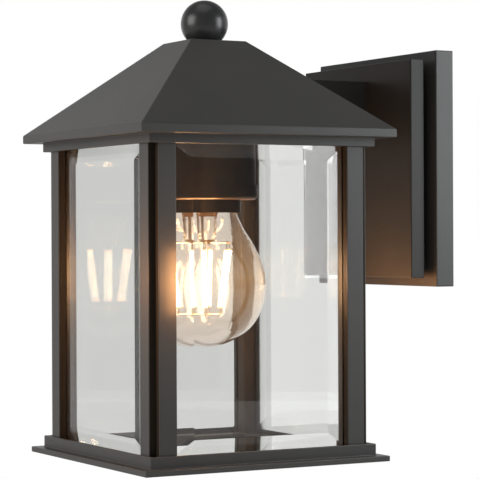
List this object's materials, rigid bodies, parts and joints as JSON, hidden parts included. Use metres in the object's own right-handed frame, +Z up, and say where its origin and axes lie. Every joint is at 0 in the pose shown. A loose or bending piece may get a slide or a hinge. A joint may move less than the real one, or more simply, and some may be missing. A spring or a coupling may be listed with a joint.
{
  "type": "outdoor wall lantern",
  "caption": "Outdoor wall lantern: square metal frame with bevelled glass panes, hipped roof, ball finial and screw-in filament bulb, on an arm from a stepped wall plate.",
  "frame": {"origin": "middle of the wall plate's back, on the wall", "axes": "+Z up, +Y into the wall, so the lantern hangs out along -Y; +X to the right of someone facing the wall"},
  "size_m": [0.14, 0.183, 0.231],
  "materials": {
    "painted_metal": "satin dark bronze-grey paint",
    "zinc_steel": "zinc plated",
    "earth_green": "green earth screw",
    "pane_glass": "clear bevelled glass",
    "bulb_glass": "clear blown glass",
    "cap_metal": "plated screw cap",
    "black_glass": "black insulator",
    "wire_metal": "thin nickel wire",
    "filament": "lit filament sticks",
    "holder_metal": "dark satin paint",
    "holder_plastic": "dark moulded holder",
    "brass": "plain brass",
    "rubber": "black sealing washer",
    "foam": "foam strip",
    "white_plastic": "moulded terminal block",
    "lead_black": "insulated lead",
    "lead_white": "insulated lead"
  },
  "bodies": {
    "lantern": {"arm": "painted_metal", "arm_screws": "zinc_steel", "base_frame": "painted_metal", "base_screws": "zinc_steel", "bridge_screws": "zinc_steel", "centre_contact": "brass", "clip_screws": "painted_metal", "crown_frame": "painted_metal", "crown_screws": "zinc_steel", "earth_screw": "earth_green", "front_plate": "painted_metal", "glass_back": "pane_glass", "glass_front": "pane_glass", "glass_left": "pane_glass", "glass_right": "pane_glass", "holder_body": "holder_plastic", "holder_bridge": "zinc_steel", "holder_bushing": "zinc_steel", "holder_cover": "holder_metal", "holder_cup": "holder_metal", "live_lead": "lead_black", "lock_nuts": "zinc_steel", "mounting_bar": "zinc_steel", "neutral_lead": "lead_white", "pane_clips": "painted_metal", "plate_neck": "painted_metal", "plate_screws": "zinc_steel", "post_back_left": "painted_metal", "post_back_right": "painted_metal", "post_front_left": "painted_metal", "post_front_right": "painted_metal", "roof": "painted_metal", "roof_screws": "zinc_steel", "screw_shell": "brass", "side_screws": "painted_metal", "terminal_block": "white_plastic", "threaded_tube": "zinc_steel", "wall_plate": "painted_metal", "wall_seal": "foam"},
    "finial_washer": {"finial_washer": "rubber"},
    "finial": {"finial": "painted_metal"},
    "bulb_contact": {"bulb_contact": "cap_metal"},
    "bulb": {"bulb_glass": "bulb_glass", "bulb_cap": "cap_metal", "bulb_insulator": "black_glass", "bulb_stem": "bulb_glass", "support_wires": "wire_metal", "filaments": "filament"}
  },
  "joints": [
    {"name": "finial_rise", "type": "slide", "parent": "lantern", "child": "finial_washer", "axis": [0, 0, 1], "range_m": [0, 0.00701]},
    {"name": "finial_turn", "type": "hinge", "parent": "finial_washer", "child": "finial", "pos_m": [0, -0.113, 0.0736], "axis": [0, 0, 1], "range_deg": [0, 2520]},
    {"name": "bulb_travel", "type": "slide", "parent": "lantern", "child": "bulb_contact", "axis": [0, 0, -1], "range_m": [0, 0.0218]},
    {"name": "bulb_turn", "type": "hinge", "parent": "bulb_contact", "child": "bulb", "pos_m": [0, -0.113, -0.0054], "axis": [0, 0, -1], "range_deg": [0, 2160]}
  ],
  "couplings": [
    {"joint": "finial_rise", "follows": "finial_turn", "m_per_rad": 0.00015915},
    {"joint": "bulb_travel", "follows": "bulb_turn", "m_per_rad": 0.00057757}
  ]
}
